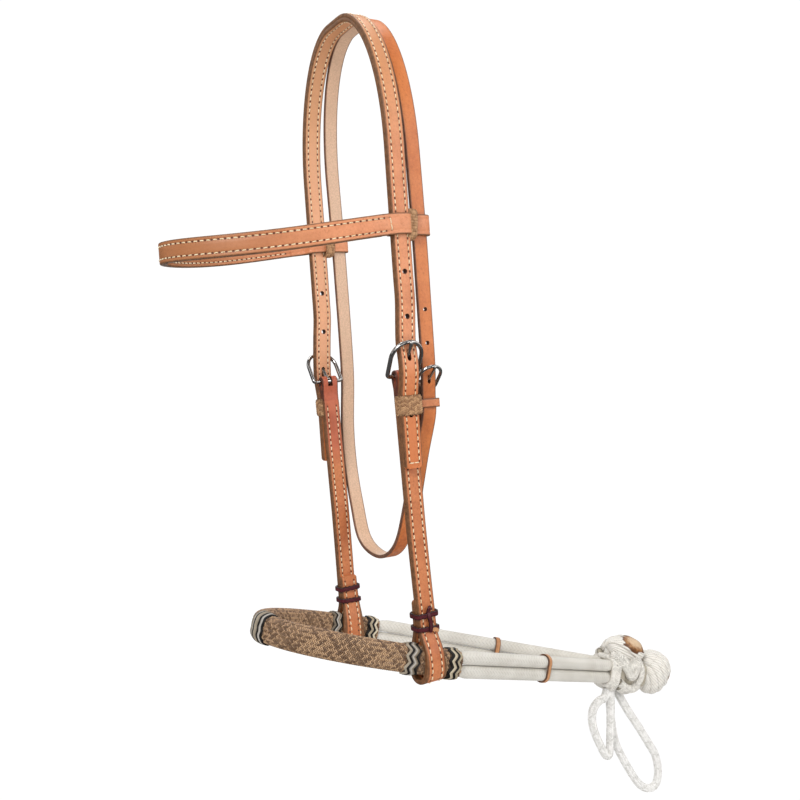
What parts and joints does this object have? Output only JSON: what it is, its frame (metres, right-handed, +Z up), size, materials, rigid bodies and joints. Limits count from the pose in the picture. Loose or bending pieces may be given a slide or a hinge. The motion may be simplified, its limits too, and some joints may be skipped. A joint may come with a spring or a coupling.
{
  "type": "bitless hackamore",
  "caption": "Doubled and stitched leather headstall with browband and throatlatch, carrying a rope-cored braided noseband with a heel knot and hanging rein loops.",
  "frame": {"origin": "centre of the crown strap's underside at the poll, where the headstall hangs", "axes": "+Z up, -Y forward towards the nose, +X to the horse's left (near) side"},
  "size_m": [0.1734, 0.4758, 0.7239],
  "materials": {
    "harness_leather": "smooth oiled harness leather",
    "flesh_leather": "napped flesh side",
    "throat_leather": "glazed grain side",
    "nickel_steel": "polished nickel plate",
    "rawhide": "woven rawhide",
    "burgundy_lace": "waxed latigo lace",
    "tan_leather": "tan skirting leather",
    "braided_rawhide": "tight herringbone braid",
    "ring_braid": "black and cream zigzag braid",
    "white_rope": "smooth twisted synthetic rope",
    "white_cord": "braided synthetic cord"
  },
  "bodies": {
    "headstall": {"crown_outer_ply": "harness_leather", "crown_lining_ply": "flesh_leather", "throat_upper_strap": "throat_leather", "near_cheek_strap": "harness_leather", "far_cheek_strap": "harness_leather", "near_cheek_lace": "burgundy_lace", "far_cheek_lace": "burgundy_lace", "near_keeper": "rawhide", "far_keeper": "rawhide"},
    "browband": {"browband_outer_ply": "harness_leather", "browband_lining_ply": "harness_leather", "near_browband_loop": "harness_leather", "far_browband_loop": "harness_leather", "near_browband_tie": "rawhide", "far_browband_tie": "rawhide"},
    "near_buckle": {"near_buckle_frame": "nickel_steel"},
    "far_buckle": {"far_buckle_frame": "nickel_steel"},
    "near_tongue": {"near_buckle_tongue": "nickel_steel"},
    "far_tongue": {"far_buckle_tongue": "nickel_steel"},
    "throatlatch": {"throat_lower_strap": "throat_leather", "throat_billet": "throat_leather"},
    "throat_buckle": {"throat_buckle_frame": "nickel_steel"},
    "throat_tongue": {"throat_buckle_tongue": "nickel_steel"},
    "throat_billet_keeper": {"throat_keeper": "harness_leather"},
    "bosal": {"near_noseband_loop": "harness_leather", "far_noseband_loop": "harness_leather", "upper_core_rope": "white_rope", "lower_core_rope": "white_rope", "noseband_braid": "braided_rawhide", "nose_ring": "ring_braid", "near_front_ring": "ring_braid", "far_front_ring": "ring_braid", "near_rear_ring": "ring_braid", "far_rear_ring": "ring_braid", "heel_binding": "white_rope", "heel_knob_upper": "white_rope", "heel_knob_rear": "white_rope"},
    "near_rope_slider": {"near_rope_keeper": "tan_leather"},
    "far_rope_slider": {"far_rope_keeper": "tan_leather"},
    "short_rein_loop": {"rein_loop_short": "white_cord"},
    "long_rein_loop": {"rein_loop_long": "white_cord"}
  },
  "joints": [
    {"name": "browband_slide", "type": "slide", "parent": "headstall", "child": "browband", "axis": [0, 0, 1], "range_m": [-0.01, 0.006]},
    {"name": "bosal_tilt", "type": "hinge", "parent": "headstall", "child": "bosal", "pos_m": [0, 0.00302, -0.5087], "axis": [1, 0, 0], "range_deg": [-12, 20]},
    {"name": "throatlatch_swing", "type": "hinge", "parent": "headstall", "child": "throatlatch", "pos_m": [0, 0.0192, -0.1944], "axis": [1, 0, 0], "range_deg": [0, 28]},
    {"name": "near_buckle_tilt", "type": "hinge", "parent": "headstall", "child": "near_buckle", "pos_m": [0.0665, -0.0025, -0.286], "axis": [0, 0.9997, 0.0248], "range_deg": [0, 4]},
    {"name": "far_buckle_tilt", "type": "hinge", "parent": "headstall", "child": "far_buckle", "pos_m": [-0.0665, -0.0025, -0.286], "axis": [0, -0.9997, -0.0248], "range_deg": [0, 4]},
    {"name": "near_tongue_lift", "type": "hinge", "parent": "near_buckle", "child": "near_tongue", "pos_m": [0.0665, -0.0025, -0.286], "axis": [0, 0.9997, 0.0248], "range_deg": [0, 4]},
    {"name": "far_tongue_lift", "type": "hinge", "parent": "far_buckle", "child": "far_tongue", "pos_m": [-0.0665, -0.0025, -0.286], "axis": [0, -0.9997, -0.0248], "range_deg": [0, 4]},
    {"name": "throat_buckle_tilt", "type": "hinge", "parent": "throatlatch", "child": "throat_buckle", "pos_m": [0.062, 0.0192, -0.296], "axis": [0, 1, 0], "range_deg": [0, 4]},
    {"name": "throat_tongue_lift", "type": "hinge", "parent": "throat_buckle", "child": "throat_tongue", "pos_m": [0.062, 0.0192, -0.296], "axis": [0, 1, 0], "range_deg": [0, 4]},
    {"name": "throat_keeper_slide", "type": "slide", "parent": "throatlatch", "child": "throat_billet_keeper", "axis": [0, 0, 1], "range_m": [-0.002, 0.003]},
    {"name": "near_rope_keeper_slide", "type": "slide", "parent": "bosal", "child": "near_rope_slider", "axis": [-0.2727, 0.9186, -0.2861], "range_m": [-0.085, 0.075]},
    {"name": "far_rope_keeper_slide", "type": "slide", "parent": "bosal", "child": "far_rope_slider", "axis": [0.2727, 0.9186, -0.2861], "range_m": [-0.085, 0.075]},
    {"name": "short_rein_loop_swing", "type": "hinge", "parent": "bosal", "child": "short_rein_loop", "pos_m": [0.0044, 0.2365, -0.601], "axis": [1, 0, 0], "range_deg": [-25, 25]},
    {"name": "long_rein_loop_swing", "type": "hinge", "parent": "bosal", "child": "long_rein_loop", "pos_m": [-0.0044, 0.2505, -0.601], "axis": [1, 0, 0], "range_deg": [-40, 12]}
  ]
}
